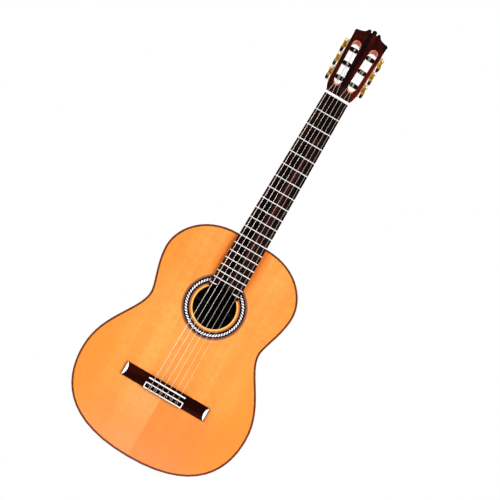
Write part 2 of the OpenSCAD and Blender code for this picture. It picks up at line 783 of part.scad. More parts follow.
// The button swells from its stem to its widest place and closes in a rounded end
function button_ring(k) =
    let (a = -75 + 165 * k / button_steps)
    let (t = button_wide_at + (a < 0 ? button_wide_at / sin(75) : 1 - button_wide_at) * sin(a))
    let (thick = (button_thick[0] + (button_thick[1] - button_thick[0]) * t) * pow(max(cos(a), 0.01), 0.35))
    let (wide = button_half * max(cos(a), 0.02))
    [
        for (j = [0 : button_sides - 1])
            let (b = 360 * j / button_sides, c = cos(b), s = sin(b))
            [
                worm_x + thick * sign(c) * pow(abs(c), button_square),
                button_at + button_len * t,
                worm_z + wide * sign(s) * pow(abs(s), button_square)
            ]
    ];
module button(i) color("#171513") at_tuner(i) difference() {
    loft([for (k = [0 : button_steps]) button_ring(k)]);
    translate([worm_x, 0, worm_z]) y_rod(1.5, 0, button_at + button_bore);
}

soundboard();
soundhole_patch();
rosette_rings();
rosette_mosaic();
top_braces();
back_bass();
back_treble();
back_centre_strip();
back_braces();
side_bass();
side_treble();
kerfed_linings();
top_binding();
back_binding();
neck_block();
end_block();
end_graft();
neck();
heel_cap();
headstock();
headplate();
fingerboard();
frets();
nut();
bridge();
saddle();
bridge_inlays();
tuner_plate_bass();
tuner_plate_treble();
tuner_screws();
string(1);  // string_1
string(2);  // string_2
string(3);  // string_3
string(4);  // string_4
string(5);  // string_5
string(6);  // string_6
roller(1);  // tuner_1_roller
gear(1);  // tuner_1_gear
worm(1);  // tuner_1_worm
button(1);  // tuner_1_button
roller(2);  // tuner_2_roller
gear(2);  // tuner_2_gear
worm(2);  // tuner_2_worm
button(2);  // tuner_2_button
roller(3);  // tuner_3_roller
gear(3);  // tuner_3_gear
worm(3);  // tuner_3_worm
button(3);  // tuner_3_button
roller(4);  // tuner_4_roller
gear(4);  // tuner_4_gear
worm(4);  // tuner_4_worm
button(4);  // tuner_4_button
roller(5);  // tuner_5_roller
gear(5);  // tuner_5_gear
worm(5);  // tuner_5_worm
button(5);  // tuner_5_button
roller(6);  // tuner_6_roller
gear(6);  // tuner_6_gear
worm(6);  // tuner_6_worm
button(6);  // tuner_6_button
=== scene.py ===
"""Materials, strings, buttons, light and camera for the classical guitar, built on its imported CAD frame."""

import json
import math

import bmesh
import bpy
from mathutils import Matrix, Vector


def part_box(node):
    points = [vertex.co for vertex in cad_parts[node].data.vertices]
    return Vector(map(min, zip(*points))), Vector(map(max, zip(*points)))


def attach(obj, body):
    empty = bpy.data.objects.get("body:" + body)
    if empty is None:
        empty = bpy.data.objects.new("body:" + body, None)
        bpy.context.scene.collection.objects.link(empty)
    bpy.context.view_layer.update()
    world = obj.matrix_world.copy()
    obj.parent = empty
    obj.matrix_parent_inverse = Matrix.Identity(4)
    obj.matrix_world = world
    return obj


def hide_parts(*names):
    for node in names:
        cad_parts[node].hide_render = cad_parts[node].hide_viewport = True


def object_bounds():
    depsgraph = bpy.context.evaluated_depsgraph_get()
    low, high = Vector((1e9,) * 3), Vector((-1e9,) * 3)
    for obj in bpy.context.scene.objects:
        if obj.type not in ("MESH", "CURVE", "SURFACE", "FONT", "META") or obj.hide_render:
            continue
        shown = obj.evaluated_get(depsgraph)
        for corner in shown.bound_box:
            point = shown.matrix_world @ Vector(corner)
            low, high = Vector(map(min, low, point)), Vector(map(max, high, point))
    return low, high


MM = 0.001
STRINGS = range(1, 7)

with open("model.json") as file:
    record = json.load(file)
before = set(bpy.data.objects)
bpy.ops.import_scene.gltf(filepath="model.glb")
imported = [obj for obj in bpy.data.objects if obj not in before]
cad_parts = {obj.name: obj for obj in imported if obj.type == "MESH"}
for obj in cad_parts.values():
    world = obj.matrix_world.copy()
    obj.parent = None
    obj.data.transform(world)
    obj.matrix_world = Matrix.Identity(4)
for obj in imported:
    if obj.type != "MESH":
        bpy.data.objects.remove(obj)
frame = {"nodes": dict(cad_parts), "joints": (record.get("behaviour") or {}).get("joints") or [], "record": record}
cad_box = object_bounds()
nodes = frame["nodes"]
joints = {joint["name"]: joint for joint in frame["joints"]}
mounts = {mount["name"]: mount for mount in frame["record"]["mounts"]}


# ---------- Node graphs ----------

RING_BLUR = 0.12 * MM


class Graph:
    """A shader node tree. Its methods add nodes and return their output sockets."""

    def __init__(self, tree):
        self.tree = tree

    def node(self, kind, inputs=None, **settings):
        made = self.tree.nodes.new("ShaderNode" + kind)
        for key, value in settings.items():
            setattr(made, key, value)
        for key, value in (inputs or {}).items():
            self.feed(made.inputs[key], value)
        return made

    def feed(self, socket, value):
        if isinstance(value, bpy.types.NodeSocket):
            self.tree.links.new(value, socket)
        else:
            socket.default_value = value

    def math(self, operation, a, b=0.0):
        return self.node("Math", {0: a, 1: b}, operation=operation).outputs[0]

    def plus(self, a, b):
        return self.math("ADD", a, b)

    def minus(self, a, b):
        return self.math("SUBTRACT", a, b)

    def times(self, a, b):
        return self.math("MULTIPLY", a, b)

    def larger(self, a, b):
        return self.math("MAXIMUM", a, b)

    def distance(self, value, centre):
        return self.math("ABSOLUTE", self.minus(value, centre))

    def between(self, value, start, end):
        """0 at start, 1 at end, smooth in between; start may be the higher of the two."""
        inputs = {"Value": value, "From Min": start, "From Max": end}
        return self.node("MapRange", inputs, interpolation_type="SMOOTHSTEP").outputs[0]


class Finish(Graph):
    """One procedural material."""

    def __init__(self, name):
        self.material = bpy.data.materials.new(name)
        self.material.use_nodes = True
        super().__init__(self.material.node_tree)
        self.shader = self.tree.nodes["Principled BSDF"]

    def set(self, **inputs):
        for key, value in inputs.items():
            self.feed(self.shader.inputs[key.replace("_", " ")], value)

    def mix(self, share, a, b):
        """The colour a, turned into b by share. Each is a socket or red, green and blue."""
        a, b = ((*colour, 1) if isinstance(colour, tuple) else colour for colour in (a, b))
        return self.node("Mix", {0: share, 6: a, 7: b}, data_type="RGBA", blend_type="MIX").outputs[2]

    def ramp(self, value, stops):
        made = self.node("ValToRGB", {0: value})
        elements = made.color_ramp.elements
        while len(elements) < len(stops):
            elements.new(0.5)
        for element, (place, colour) in zip(elements, stops):
            element.position = place
            element.color = (*colour, 1)
        return made.outputs[0]

    def point(self):
        """The shaded point in metres, as a vector."""
        return self.node("TexCoord").outputs["Object"]

    def split(self, vector):
        return self.node("SeparateXYZ", {0: vector}).outputs

    def facing_back(self):
        """1 on a face that looks backwards, -1 on one that looks forwards."""
        return self.split(self.node("NewGeometry").outputs["Normal"])[1]

    def vector(self, x, y, z):
        return self.node("CombineXYZ", {0: x, 1: y, 2: z}).outputs[0]

    def stretch(self, vector, scale):
        return self.node("Mapping", {"Vector": vector, "Scale": scale}).outputs[0]

    def noise(self, vector, scale, detail=3.0, distortion=0.0, rough=0.5):
        inputs = {"Vector": vector, "Scale": scale, "Detail": detail}
        inputs.update({"Distortion": distortion, "Roughness": rough})
        return self.node("TexNoise", inputs).outputs[0]

    def wander(self, value, vector, stretch, scale, swing):
        """value, moved to and fro by up to half of swing."""
        bend = self.noise(self.stretch(vector, stretch), scale, 2.0)
        return self.plus(value, self.times(self.minus(bend, 0.5), swing))

    def vary(self, low, by, amount):
        """A value from low to low plus amount, as by goes from 0 to 1."""
        return self.plus(low, self.times(by, amount))

    def radius(self, a, b):
        """How far the point a, b is from 0, 0."""
        return self.math("SQRT", self.plus(self.times(a, a), self.times(b, b)))

    def ring(self, x, z, centre, half):
        """1 where the radius about the sound hole is within half of centre."""
        off = self.distance(self.radius(x, z), centre)
        return self.between(off, half + RING_BLUR, half - RING_BLUR)

    def bump(self, height, strength, distance=0.2 * MM):
        inputs = {"Height": height, "Strength": strength, "Distance": distance}
        return self.node("Bump", inputs).outputs[0]


# ---------- Woods ----------

LENGTHWISE = (1, 1, 0.03)
CROSSWISE = (0.03, 1, 1)
NO_GRAIN = (1, 1, 1)
COAT_ROUGHNESS = 0.03

# Each wood's colours, from its dark streaks to its light ones.
SPRUCE = [(0.55, 0.32, 0.14), (0.68, 0.43, 0.20), (0.80, 0.56, 0.30)]
MAPLE = [(0.50, 0.28, 0.11), (0.62, 0.38, 0.17)]
ROSEWOOD = [(0.035, 0.010, 0.006), (0.10, 0.026, 0.014), (0.20, 0.058, 0.028)]
HEAD = [(0.006, 0.001, 0.001), (0.030, 0.002, 0.001), (0.085, 0.006, 0.003)]
BOARD = [(0.002, 0.001, 0.001), (0.007, 0.003, 0.003), (0.026, 0.008, 0.007)]
BRIDGE = [(0.004, 0.001, 0.001), (0.014, 0.002, 0.001), (0.045, 0.005, 0.003)]
MAHOGANY = [(0.16, 0.040, 0.014), (0.25, 0.070, 0.026), (0.35, 0.110, 0.044)]
BINDING = [(0.09, 0.020, 0.008), (0.15, 0.033, 0.012), (0.21, 0.050, 0.020)]

HOLE_RADIUS = mounts["soundhole"]["dims"]["r_mm"] * MM
JUST_BEHIND_TOP = (0.1 * MM, 0.3 * MM)
DEEP_INSIDE = (50 * MM, 55 * MM)
KNOT_X, KNOT_Z = 111.8 * MM, -9.9 * MM
HEAD_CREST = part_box("headplate")[1].z
NUT_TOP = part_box("nut")[1].z


def wood(name, colours, grain=LENGTHWISE, streak_scale=90, pore_scale=900, pore_depth=0.35,
         rough=0.35, coat=0.6, bump=0.15, specular=0.5, tint=None):
    """A lacquered or oiled wood: colours run dark to light over the streaks, and pores darken fine lines.

    tint, if given, takes the finish and the colour and returns the colour to use."""
    g = Finish(name)
    point = g.point()
    along = g.stretch(point, grain)
    streak = g.noise(along, streak_scale, 5.0, 0.4, 0.6)
    broad = g.noise(point, 9.0, 2.0)
    streak = g.plus(g.times(streak, 0.8), g.times(broad, 0.2))
    dark_end, spread = 0.36, 0.28
    stops = [(dark_end + spread * k / (len(colours) - 1), c) for k, c in enumerate(colours)]
    pores = g.between(g.noise(along, pore_scale, 2.0), 0.52, 0.72)
    colour = g.mix(g.times(pores, pore_depth), g.ramp(streak, stops), colours[0])
    if tint:
        colour = tint(g, colour)
    wear = g.noise(point, 60.0, 3.0)
    g.set(Base_Color=colour, Roughness=g.vary(rough - 0.06, wear, 0.12), Specular_IOR_Level=specular,
          Coat_Weight=coat, Coat_Roughness=COAT_ROUGHNESS, Normal=g.bump(g.minus(1.0, pores), bump))
    return g.material


def painted_inside_shade(g, colour):
    """Paints shade onto faces of the back that look forwards: the unlit inside of the body."""
    # The near-black colour of the painted shade.
    painted_shade = (0.002, 0.001, 0.001)
    deep = g.between(g.split(g.point())[1], *DEEP_INSIDE)
    forward = g.between(g.facing_back(), -0.4, -0.6)
    return g.mix(g.times(deep, forward), colour, painted_shade)


def painted_deep_shade(g, colour):
    """Paints shade onto braces deep inside the body, and onto the edge of the sound hole."""
    # The near-black colour of the painted shade.
    painted_shade = (0.003, 0.002, 0.001)
    x, y, z = g.split(g.point())
    deep = g.between(y, *DEEP_INSIDE)
    edge = g.times(g.ring(x, z, HOLE_RADIUS, 0.5 * MM), g.between(y, *JUST_BEHIND_TOP))
    return g.mix(g.larger(deep, edge), colour, painted_shade)


def painted_slot_light(g, colour):
    """Brightens the ends of the head's slots with painted light, salmon above and orange below."""
    # The colours of the painted light on the slot ends.
    salmon, orange = (0.84, 0.20, 0.10), (0.92, 0.24, 0.055)
    x, _, z = g.split(g.point())
    inside = g.between(g.math("ABSOLUTE", x), 29 * MM, 27.5 * MM)
    inside = g.times(inside, g.between(g.facing_back(), 0.6, 0.5))
    upper = g.times(g.between(z, HEAD_CREST - 56 * MM, HEAD_CREST - 46 * MM),
                    g.between(z, HEAD_CREST - 30 * MM, HEAD_CREST - 33 * MM))
    lower = g.times(g.between(z, NUT_TOP + 38 * MM, NUT_TOP + 30 * MM),
                    g.between(z, NUT_TOP + 4 * MM, NUT_TOP + 8 * MM))
    colour = g.mix(g.times(inside, upper), colour, salmon)
    return g.mix(g.times(inside, lower), colour, orange)


def head_figure(g, colour):
    """The head veneer: black heartwood along the middle and over the crest, redder at the treble rim."""
    red, heartwood = (0.17, 0.006, 0.003), (0.003, 0.001, 0.001)
    point = g.point()
    x, _, z = g.split(point)
    across = g.wander(x, point, (1, 1, 0.3), 30.0, 9 * MM)
    middle = g.between(g.distance(across, -4 * MM), 7 * MM, 2 * MM)
    crest = g.between(z, HEAD_CREST - 14 * MM, HEAD_CREST - 4 * MM)
    corner = g.times(g.between(x, 27 * MM, 33 * MM),
                     g.between(z, HEAD_CREST - 34 * MM, HEAD_CREST - 26 * MM))
    rim = g.times(g.between(across, 20 * MM, 27 * MM),
                  g.between(z, HEAD_CREST - 50 * MM, HEAD_CREST - 75 * MM))
    colour = g.mix(g.times(rim, 0.5), colour, red)
    return g.mix(g.times(g.larger(middle, g.larger(crest, corner)), 0.92), colour, heartwood)


def board_figure(g, colour):
    """The fingerboard: broken reddish streaks right of the middle and along the bass edge."""
    red = (0.085, 0.018, 0.014)
    point = g.point()
    across = g.wander(g.split(point)[0], point, (1, 1, 0.15), 25.0, 8 * MM)
    band = g.between(g.distance(across, 5 * MM), 8 * MM, 3 * MM)
    band = g.times(band, g.between(g.noise(point, 16.0, 2.0), 0.42, 0.58))
    edge = g.between(across, -24 * MM, -28 * MM)
    return g.mix(g.times(g.larger(band, edge), 0.45), colour, red)


def spruce_top():
    """Book-matched softwood under amber lacquer: fine growth lines, silky cross figure and a centre seam."""
    g = Finish("soundboard_spruce")
    point = g.point()
    x, y, z = g.split(point)
    side = g.math("ABSOLUTE", x)
    warp = g.times(g.noise(g.vector(0.0, 0.0, z), 5.0, 1.0), 3 * MM)
    across = g.plus(side, warp)
    lines = g.noise(g.vector(across, 0.0, g.times(z, 0.006)), 620.0, 2.0)
    growth = g.between(lines, 0.45, 0.75)
    bands = g.noise(g.vector(across, 0.3, g.times(z, 0.05)), 60.0, 3.0)
    silk = g.noise(g.vector(g.times(side, 0.35), 0.0, z), 85.0, 3.0, 0.6)
    broad = g.noise(point, 7.0, 2.0)
    mottle = g.noise(g.stretch(point, (1, 1, 0.6)), 190.0, 4.0, 0.8, 0.65)
    tone = g.plus(g.plus(g.times(bands, 0.4), g.times(silk, 0.2)), g.times(broad, 0.4))
    tone = g.minus(tone, g.times(x, 0.1))
    amber = [(0.34, (0.90, 0.26, 0.036)), (0.5, (0.93, 0.335, 0.058)), (0.66, (0.95, 0.42, 0.094))]

    treble_half = g.between(x, -0.1 * MM, 0.1 * MM)
    bass_half = g.times(g.minus(1.0, treble_half), g.between(x, -90 * MM, -30 * MM))
    below_bridge = g.between(z, -180 * MM, -215 * MM)
    # Painted shade on the top beside the fingerboard, where its shadow falls.
    shade_beside_board = g.times(g.between(side, 58 * MM, 32 * MM), g.between(z, 40 * MM, 90 * MM))
    tail = g.between(z, -110 * MM, -340 * MM)
    sides = g.between(side, 80 * MM, 145 * MM)
    # Painted highlight: the spruce ring round the sound hole, lighter and yellower.
    highlight_round_hole = g.ring(x, z, HOLE_RADIUS + 1.7 * MM, 1.2 * MM)
    knot = g.between(g.radius(g.minus(x, KNOT_X), g.minus(z, KNOT_Z)), 1.8 * MM, 0.6 * MM)
    seam = g.between(side, 0.5 * MM, 0.1 * MM)
    # Painted shade, near black: the sound hole's rim under the end of the fingerboard, and the hole's wall.
    under_board = g.between(z, 30.5 * MM, 31.5 * MM)
    hole_edge_shade = g.times(g.ring(x, z, HOLE_RADIUS, 1.0 * MM), under_board)
    hole_wall_shade = g.times(g.ring(x, z, HOLE_RADIUS, 0.4 * MM), g.between(y, *JUST_BEHIND_TOP))
    # How much of each colour lies over those before it.
    layers = [
        (g.times(growth, 0.14), (0.80, 0.20, 0.02)),
        (g.times(g.times(treble_half, below_bridge), 0.5), (0.80, 0.21, 0.035)),
        (g.times(g.times(bass_half, below_bridge), 0.6), (0.98, 0.46, 0.15)),
        (g.times(tail, 0.7), (0.72, 0.19, 0.030)),
        (g.times(sides, 0.6), (0.90, 0.26, 0.020)),
        (g.times(g.between(mottle, 0.44, 0.64), 0.22), (0.78, 0.18, 0.020)),
        (g.times(shade_beside_board, 0.9), (0.90, 0.20, 0.014)),
        (highlight_round_hole, (1.0, 0.55, 0.10)),
        (g.times(knot, 0.6), (0.35, 0.10, 0.02)),
        (g.times(seam, 0.35), (0.5, 0.16, 0.03)),
        (g.larger(hole_edge_shade, hole_wall_shade), (0.01, 0.004, 0.002)),
    ]
    colour = g.ramp(tone, amber)
    for share, tint in layers:
        colour = g.mix(share, colour, tint)
    wear = g.noise(point, 35.0, 4.0)
    g.set(Base_Color=colour, Roughness=g.vary(0.32, wear, 0.1), Coat_Weight=0.55, Coat_Roughness=0.06,
          Normal=g.bump(growth, 0.06))
    return g.material


# ---------- Rosette ----------

INNER_LINE = 49.5 * MM
ROPE_MIDDLE = 55.0 * MM
ROPE_HALF_WIDTH = 1.85 * MM
ROPE_SWELL = 0.5 * MM
ROPE_BEADS = 62.0
# How far a bead's phase runs on for each millimetre outwards, in radians.
ROPE_LEAN = 0.9
BROWN_LINE = 60.4 * MM
DARK_LINE = 61.6 * MM
PALE_LINE = 62.8 * MM


def inlaid(g, colour, rough, specular, relief, depth):
    """Sets a flush inlay under thin lacquer."""
    g.set(Base_Color=colour, Roughness=rough, Specular_IOR_Level=specular, Coat_Weight=0.2,
          Coat_Roughness=COAT_ROUGHNESS, Normal=g.bump(relief, depth))
    return g.material


def rosette_rings():
    """Stained veneer rings with thin dark and pale lines at their edges."""
    g = Finish("rosette_ring_veneers")
    point = g.point()
    x, _, z = g.split(point)
    streak = g.noise(point, 420.0, 3.0, 0.5)
    colour = g.ramp(streak, [(0.3, (0.34, 0.10, 0.045)), (0.7, (0.50, 0.17, 0.07))])
    for centre, half, line in [(INNER_LINE, 0.5 * MM, (0.08, 0.025, 0.020)),
                               (DARK_LINE, 0.4 * MM, (0.14, 0.045, 0.035)),
                               (PALE_LINE, 0.35 * MM, (0.34, 0.15, 0.11))]:
        colour = g.mix(g.ring(x, z, centre, half), colour, line)
    return inlaid(g, colour, 0.22, 0.15, streak, 0.05)


def rosette_mosaic():
    """White beads that lean like the turns of a rope, on a black ground, in polar coordinates."""
    g = Finish("rosette_rope_mosaic")
    point = g.point()
    x, _, z = g.split(point)
    angle = g.math("ARCTAN2", z, x)
    grain = g.noise(point, 1500.0, 2.0)
    offset = g.minus(g.radius(x, z), ROPE_MIDDLE)
    wave = g.math("SINE", g.plus(g.times(angle, ROPE_BEADS), g.times(offset, ROPE_LEAN / MM)))
    edge = g.plus(ROPE_HALF_WIDTH, g.times(wave, ROPE_SWELL))
    band = g.between(g.minus(edge, g.math("ABSOLUTE", offset)), -0.1 * MM, 0.15 * MM)
    beads = g.times(band, g.between(wave, -0.5, -0.15))
    white = g.mix(grain, (0.92, 0.93, 0.93), (1.0, 1.0, 1.0))
    black = g.mix(grain, (0.001, 0.001, 0.002), (0.004, 0.004, 0.005))
    colour = g.mix(g.ring(x, z, BROWN_LINE, 0.7 * MM), g.mix(beads, black, white), (0.17, 0.055, 0.035))
    return inlaid(g, colour, 0.2, 0.1, beads, 0.08)


# ---------- Metal, bone, plastic and strings ----------


def metal(name, colour, rough, scratch, tarnish, body, patch_scale=160.0):
    """Polished metal with fine scratches and darker patches; body is the share that scatters light."""
    g = Finish(name)
    point = g.point()
    patch = g.between(g.noise(point, patch_scale, 3.0), 0.35, 0.6)
    fine = g.noise(g.stretch(point, (1, 1, 0.08)), 2600.0, 2.0)
    dark = tuple(c ** (1 + tarnish) * (1 - tarnish) for c in colour)
    g.set(Base_Color=g.mix(patch, dark, colour), Metallic=1.0 - body, Roughness=g.vary(rough, patch, 0.1),
          Normal=g.bump(fine, scratch, 0.05 * MM))
    return g.material


def bone(name, colour, rough=0.35):
    """Off-white bone with faint long fibres."""
    g = Finish(name)
    fibre = g.noise(g.stretch(g.point(), (0.15, 1, 1)), 700.0, 3.0)
    yellowed = tuple(c * k for c, k in zip(colour, (0.96, 0.94, 0.88)))
    g.set(Base_Color=g.mix(fibre, yellowed, colour), Subsurface_Weight=0.15, Subsurface_Scale=MM,
          Subsurface_Radius=(1.0, 0.8, 0.6), Roughness=g.vary(rough - 0.08, fibre, 0.16),
          Normal=g.bump(fibre, 0.08))
    return g.material


def moulded(name, colour, rough, coat):
    """Moulded or turned black plastic with a faint surface ripple and small wear marks."""
    g = Finish(name)
    point = g.point()
    ripple = g.noise(point, 240.0, 2.0)
    marks = g.between(g.noise(g.stretch(point, (1, 0.3, 1)), 1400.0, 3.0), 0.6, 0.75)
    worn = tuple(c * 2.2 + 0.01 for c in colour)
    g.set(Base_Color=g.mix(g.times(marks, 0.35), colour, worn), Roughness=g.vary(rough, marks, 0.2),
          Specular_IOR_Level=0.15, Coat_Weight=coat, Coat_Roughness=0.1, Normal=g.bump(ripple, 0.08))
    return g.material


def nylon():
    """Clear nylon monofilament: a faint milky body that lets what is behind it show."""
    g = Finish("string_nylon")
    haze = g.noise(g.stretch(g.point(), (1, 1, 0.05)), 300.0, 2.0)
    g.set(Base_Color=g.mix(haze, (0.84, 0.78, 0.64), (0.95, 0.90, 0.76)), IOR=1.53,
          Roughness=g.vary(0.3, haze, 0.12), Alpha=g.vary(0.24, haze, 0.1), Normal=g.bump(haze, 0.02))
    return g.material


def wound():
    """Silver-plated wire wound tightly round a core: bands along the string."""
    g = Finish("string_wound_silver")
    point = g.point()
    bands = g.node("TexWave", {"Vector": point, "Scale": 1600.0}, bands_direction="Z").outputs[1]
    patch = g.noise(point, 120.0, 3.0)
    g.set(Base_Color=g.mix(patch, (0.58, 0.52, 0.46), (0.70, 0.64, 0.57)), Metallic=0.7,
          Roughness=g.vary(0.28, patch, 0.1), Normal=g.bump(bands, 0.12, 0.05 * MM))
    return g.material


def materials():
    """The record's material slots, each with its finish."""
    return {
        "spruce_top": spruce_top(),
        # Braces: painted shade deep inside the body and at the sound hole's edge.
        "brace_spruce": wood("brace_spruce", SPRUCE, streak_scale=140, pore_scale=1200, pore_depth=0.2,
                             rough=0.6, coat=0.0, tint=painted_deep_shade),
        "rosette_wood": rosette_rings(),
        "rosette_mosaic": rosette_mosaic(),
        # Back and back strip: painted shade on their insides.
        "rosewood": wood("back_and_rib_rosewood", ROSEWOOD, streak_scale=70, pore_depth=0.5,
                         rough=0.25, coat=0.4, bump=0.1, tint=painted_inside_shade),
        "maple_strip": wood("back_strip_maple", MAPLE, streak_scale=200, tint=painted_inside_shade),
        "binding": wood("binding_rosewood", BINDING, NO_GRAIN, streak_scale=120, pore_depth=0.4,
                        rough=0.22, coat=0.3, bump=0.1, specular=0.2),
        # Neck: painted light on the slot ends of the head.
        "mahogany": wood("neck_mahogany", MAHOGANY, pore_scale=1100, pore_depth=0.4,
                         rough=0.3, coat=0.1, specular=0.2, tint=painted_slot_light),
        "head_veneer": wood("head_rosewood_veneer", HEAD, streak_scale=75, pore_depth=0.5,
                            rough=0.18, coat=0.1, bump=0.1, specular=0.04, tint=head_figure),
        "fingerboard_wood": wood("fingerboard_dark_rosewood", BOARD, streak_scale=110, pore_scale=1300,
                                 pore_depth=0.5, rough=0.25, coat=0.0, bump=0.2, specular=0.05,
                                 tint=board_figure),
        "bridge_wood": wood("bridge_rosewood", BRIDGE, CROSSWISE, streak_scale=110, pore_scale=1300,
                            pore_depth=0.5, rough=0.22, coat=0.0, bump=0.2, specular=0.05),
        "fret_wire": metal("fret_nickel_silver", (1.0, 0.99, 0.98), rough=0.22, scratch=0.04, tarnish=0.0,
                           body=0.9),
        "bone": bone("nut_and_saddle_bone", (0.99, 0.99, 0.98)),
        "bone_inlay": bone("bridge_white_inlay", (0.98, 0.98, 0.97), rough=0.4),
        "gold_plate": metal("tuner_gold_plate", (1.0, 0.80, 0.46), rough=0.12, scratch=0.02, tarnish=0.15,
                            body=0.3),
        "gear_brass": metal("tuner_gear_brass", (1.0, 0.60, 0.11), rough=0.1, scratch=0.02, tarnish=0.35,
                            body=0.2, patch_scale=90.0),
        "roller_black": moulded("roller_black_plastic", (0.005, 0.005, 0.006), rough=0.25, coat=0.0),
        "button_black": moulded("button_black_polished", (0.004, 0.004, 0.005), rough=0.16, coat=0.05),
        "nylon": nylon(),
        "wound_string": wound(),
    }


# ---------- Carried-over nodes ----------

WELD_GAP = 0.004 * MM
FLAT_ANGLE = math.radians(0.4)
CREASE_ANGLE = math.radians(35)
GEAR_SOFTENING = 0.12 * MM
# How far other nodes' edges are rounded off. Those not named here keep their CAD edges.
EDGE_SOFTENING = {
    "fingerboard": 0.3 * MM, "frets": 0.15 * MM, "nut": 0.3 * MM, "saddle": 0.5 * MM, "bridge": 0.4 * MM,
    "headplate": 0.5 * MM, "headstock": 0.6 * MM, "heel_cap": 0.4 * MM, "tuner_plate_bass": 0.25 * MM,
    "tuner_plate_treble": 0.25 * MM, "tuner_screws": 0.12 * MM,
}


def dress(node, material, softening):
    """Gives a CAD node its material, merged and softened edges, and smooth shading between them."""
    mesh = node.data
    mesh.materials.clear()
    mesh.materials.append(material)
    for name in ("custom_normal", "sharp_face"):
        if name in mesh.attributes:
            mesh.attributes.remove(mesh.attributes[name])
    mesh.shade_smooth()
    weld = node.modifiers.new("weld", "WELD")
    weld.merge_threshold = WELD_GAP
    flat = node.modifiers.new("flat_faces", "DECIMATE")
    flat.decimate_type = "DISSOLVE"
    flat.angle_limit = FLAT_ANGLE
    if softening:
        edge = node.modifiers.new("edge", "BEVEL")
        edge.width = softening
        edge.segments = 3
        edge.limit_method = "ANGLE"
        edge.angle_limit = CREASE_ANGLE
        edge.harden_normals = True
        edge.use_clamp_overlap = True
    split = node.modifiers.new("creases", "EDGE_SPLIT")
    split.split_angle = CREASE_ANGLE


finishes = materials()
for part in frame["record"]["subparts"]:
    name = part["node"]
    softening = GEAR_SOFTENING if name.endswith("_gear") else EDGE_SOFTENING.get(name, 0)
    dress(nodes[name], finishes[part["material_slot"]], softening)


# ---------- Mesh helpers ----------


def add(name, data):
    """An object that holds data, linked into the scene."""
    made = bpy.data.objects.new(name, data)
    bpy.context.scene.collection.objects.link(made)
    return made


def new_piece(name, mesh, slot):
    """A mesh object of the guitar with its slot's material and smooth shading."""
    mesh.materials.append(finishes[slot])
    mesh.shade_smooth()
    piece = add(name, mesh)
    return piece


def skin(name, rings, matrix=None):
    """A closed mesh through rings that hold the same number of points."""
    count = len(rings[0])
    points = [point for ring in rings for point in ring]
    last = len(points) - count
    faces = []
    for start in range(0, last, count):
        for i in range(count):
            a, b = start + i, start + (i + 1) % count
            faces.append((a, b, b + count, a + count))
    faces.append(tuple(range(count)))
    faces.append(tuple(range(last, len(points))))
    mesh = bpy.data.meshes.new(name)
    mesh.from_pydata([tuple(p) for p in points], [], faces)
    if matrix:
        mesh.transform(matrix)
    solid = bmesh.new()
    solid.from_mesh(mesh)
    bmesh.ops.recalc_face_normals(solid, faces=solid.faces)
    solid.to_mesh(mesh)
    solid.free()
    return mesh


def rounded(path, samples=6):
    """A path with its corners turned into a smooth curve through every point."""
    points = [Vector(p) for p in path]
    ends = [points[0] * 2 - points[1], *points, points[-1] * 2 - points[-2]]
    curve = []
    for k in range(len(points) - 1):
        p0, p1, p2, p3 = ends[k : k + 4]
        reach = (p2 - p1).length
        before = (p2 - p0).normalized() * reach
        after = (p3 - p1).normalized() * reach
        for i in range(samples):
            t = i / samples
            curve.append(
                (2 * t**3 - 3 * t**2 + 1) * p1 + (t**3 - 2 * t**2 + t) * before
                + (3 * t**2 - 2 * t**3) * p2 + (t**3 - t**2) * after
            )
    return [*curve, points[-1]]


def rod_rings(path, radius, sides=14):
    """Round sections along a path, carried forward without twist."""
    normal = Vector((1, 0, 0))
    rings = []
    for k, point in enumerate(path):
        along = (path[min(k + 1, len(path) - 1)] - path[max(k - 1, 0)]).normalized()
        normal = (normal - along * normal.dot(along)).normalized()
        other = along.cross(normal)
        angles = [2 * math.pi * i / sides for i in range(sides)]
        rings.append([point + radius * (math.cos(a) * normal + math.sin(a) * other) for a in angles])
    return rings


def joint_frame(number):
    """Frames of a tuning machine: its post and its worm, each with X outwards, Y back and Z up the side."""
    post, knob = joints[f"post_{number}_turn"], joints[f"knob_{number}_turn"]
    out, back = Vector(post["axis"]), Vector(knob["axis"])
    up = (Vector(knob["pos_m"]) - Vector(post["pos_m"])).normalized()
    turn = Matrix((out, back, up)).transposed().to_4x4()
    return Matrix.Translation(post["pos_m"]) @ turn, Matrix.Translation(knob["pos_m"]) @ turn


# ---------- Strings ----------

saddle_low, saddle_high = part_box("saddle")
bridge_low, bridge_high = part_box("bridge")
nut_low, nut_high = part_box("nut")
board_low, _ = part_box("fingerboard")

STRING_RADIUS = {1: 0.36 * MM, 2: 0.41 * MM, 3: 0.51 * MM, 4: 0.37 * MM, 5: 0.45 * MM, 6: 0.55 * MM}
STRING_SLOT = {1: "nylon", 2: "nylon", 3: "nylon", 4: "wound_string", 5: "wound_string", 6: "wound_string"}
# The six strings' spread from the first to the last: 58 mm at the saddle and 44 mm at the nut.
SADDLE_SPREAD = 2 * (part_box("string_1")[1].x - STRING_RADIUS[1])
NUT_SPREAD = SADDLE_SPREAD * 44 / 58
SADDLE_HALF_FLAT = 0.8 * MM
NUT_LIFT = 1.8 * MM

TIE_BLOCK_EDGE = 16 * MM
TIE_HOLE_HEIGHT = 5.4 * MM
TIE_HALF_WIDTH = 1.7 * MM

DRUM_RADIUS = 4.8 * MM
DRUM_FROM_GEAR = 22.8 * MM
COIL_TURNS = {1: 4.5, 2: 4.5, 3: 4.5, 4: 3.5, 5: 3.5, 6: 3.5}
COIL_WAY = {1: -1, 2: 1, 3: -1, 4: -1, 5: -1, 6: 1}
COIL_STEPS = 28
# In string radii: how far one turn moves along the roller, and its own radius, so that turns stay apart.
COIL_PITCH = 2.05
COIL_RADIUS = 0.98


